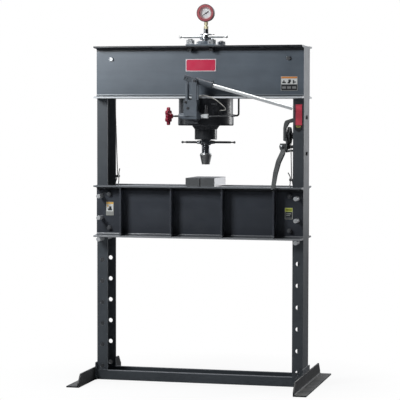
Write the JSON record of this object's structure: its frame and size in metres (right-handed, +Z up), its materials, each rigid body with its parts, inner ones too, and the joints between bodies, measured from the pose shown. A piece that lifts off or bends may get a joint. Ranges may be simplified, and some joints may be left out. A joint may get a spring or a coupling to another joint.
{
  "type": "h-frame hand press",
  "caption": "Floor-standing H-frame shop press with a hand-pumped hydraulic ram, a height-adjustable pinned bed, a rope hoist and a pressure gauge.",
  "frame": {"origin": "on the floor, midway between the columns and midway front to back", "axes": "+X to the press's right side as seen from its front, +Y to its back, +Z up"},
  "size_m": [1.409, 0.864, 2.228],
  "materials": {
    "frame_paint": "satin",
    "pump_paint": "satin",
    "bright_steel": "brushed",
    "chrome": "polished",
    "dark_steel": "machined",
    "block_steel": "ground",
    "black_steel": "gloss",
    "bronze": "machined",
    "red_paint": "gloss",
    "name_plate": "gloss",
    "dial": "gloss",
    "needle": "matte",
    "lens": "clear",
    "head_label": "gloss",
    "bed_label": "gloss",
    "tag": "gloss",
    "pale_tube": "gloss",
    "rope": "stranded"
  },
  "bodies": {
    "frame": {"left_column": "frame_paint", "right_column": "frame_paint", "front_head_channel": "frame_paint", "rear_head_channel": "frame_paint", "base_tie": "frame_paint", "left_foot": "frame_paint", "right_foot": "frame_paint", "sheave_pins": "bright_steel", "top_plate": "frame_paint", "plate_bolts": "dark_steel", "plate_nuts": "bright_steel", "reservoir": "frame_paint", "press_cylinder": "frame_paint", "gland_bush": "bronze", "pump_body": "pump_paint", "fulcrum_pin": "dark_steel", "tube_fittings": "chrome", "check_valve": "dark_steel", "pressure_tube": "bright_steel", "drain_tube": "pale_tube", "gauge_tube": "black_steel", "gauge_stem": "bright_steel", "gauge_neck": "bronze", "gauge_case": "black_steel", "gauge_bezel": "red_paint", "gauge_dial": "dial", "gauge_lens": "lens", "name_plate": "name_plate", "head_label": "head_label", "red_tag": "tag", "winch_frame": "frame_paint", "hex_bolts": "dark_steel", "left_drop_rope": "rope", "right_drop_rope": "rope", "upper_rope": "rope", "return_spring": "bright_steel"},
    "bed": {"front_bed_channel": "frame_paint", "rear_bed_channel": "frame_paint", "bed_ribs": "frame_paint", "bed_tie_bolts": "dark_steel", "bed_pins": "bright_steel", "rope_clips": "rope", "press_blocks": "block_steel", "bed_labels": "bed_label"},
    "ram": {"ram": "bright_steel"},
    "nose": {"ram_nose": "dark_steel"},
    "screw": {"adjusting_screw": "chrome"},
    "lower_bar": {"lower_bar": "bright_steel"},
    "top_hub": {"top_hub": "chrome"},
    "top_bar": {"top_bar": "bright_steel"},
    "pump_lever": {"pump_lever": "pump_paint", "pump_handle": "chrome"},
    "plunger": {"pump_plunger": "dark_steel"},
    "release_valve": {"valve_wheel": "red_paint", "valve_stem": "dark_steel"},
    "needle": {"gauge_needle": "needle"},
    "drum": {"winch_drum": "dark_steel"},
    "hoist_lever": {"winch_pinion": "dark_steel", "winch_lever": "black_steel"},
    "left_sheave": {"left_sheave": "bright_steel"},
    "right_sheave": {"right_sheave": "bright_steel"}
  },
  "joints": [
    {"name": "bed_height", "type": "slide", "parent": "frame", "child": "bed", "axis": [0, 0, 1], "range_m": [-0.762, 0], "deforming": ["left_drop_rope", "right_drop_rope"]},
    {"name": "ram_stroke", "type": "slide", "parent": "frame", "child": "ram", "axis": [0, 0, 1], "range_m": [-0.075, 0], "stiffness_N_per_m": 2600, "springref_m": 0.07, "deforming": ["return_spring"]},
    {"name": "screw_feed", "type": "slide", "parent": "ram", "child": "nose", "axis": [0, 0, 1], "range_m": [-0.045, 0]},
    {"name": "screw_turn", "type": "hinge", "parent": "nose", "child": "screw", "pos_m": [0.02, 0, 1.418], "axis": [0, 0, 1], "range_deg": [-2700, 0]},
    {"name": "lower_bar_slide", "type": "slide", "parent": "screw", "child": "lower_bar", "axis": [1, 0, 0], "range_m": [-0.105, 0.075]},
    {"name": "top_hub_turn", "type": "hinge", "parent": "frame", "child": "top_hub", "pos_m": [0.02, 0, 2.037], "axis": [0, 0, 1], "continuous": true},
    {"name": "top_bar_slide", "type": "slide", "parent": "top_hub", "child": "top_bar", "axis": [1, 0, 0], "range_m": [-0.07, 0.1]},
    {"name": "pump_stroke", "type": "hinge", "parent": "frame", "child": "pump_lever", "pos_m": [0.009, -0.205, 1.774], "axis": [0, -1, 0], "range_deg": [0, 45]},
    {"name": "plunger_slide", "type": "slide", "parent": "frame", "child": "plunger", "axis": [0, 0, 1], "range_m": [-0.0445, 0]},
    {"name": "valve_turn", "type": "hinge", "parent": "frame", "child": "release_valve", "pos_m": [-0.155, -0.2, 1.571], "axis": [1, 0, 0], "range_deg": [-540, 0]},
    {"name": "needle_turn", "type": "hinge", "parent": "frame", "child": "needle", "pos_m": [0.02, 0, 2.176], "axis": [0, 1, 0], "range_deg": [0, 244]},
    {"name": "drum_turn", "type": "hinge", "parent": "frame", "child": "drum", "pos_m": [0.54, 0, 1.458], "axis": [1, 0, 0], "range_deg": [0, 24.8]},
    {"name": "hoist_lever_turn", "type": "hinge", "parent": "frame", "child": "hoist_lever", "pos_m": [0.488, 0, 1.39425], "axis": [1, 0, 0], "range_deg": [-90, 0]},
    {"name": "left_sheave_turn", "type": "hinge", "parent": "frame", "child": "left_sheave", "pos_m": [-0.532, 0.0223, 1.905], "axis": [0, 1, 0], "continuous": true},
    {"name": "right_sheave_turn", "type": "hinge", "parent": "frame", "child": "right_sheave", "pos_m": [0.532, 0.0223, 1.905], "axis": [0, 1, 0], "continuous": true}
  ],
  "couplings": [
    {"joint": "screw_feed", "follows": "screw_turn", "m_per_rad": 0.00095493},
    {"joint": "plunger_slide", "follows": "pump_stroke", "m_per_rad": -0.0536},
    {"joint": "drum_turn", "follows": "hoist_lever_turn", "ratio": -0.275}
  ]
}
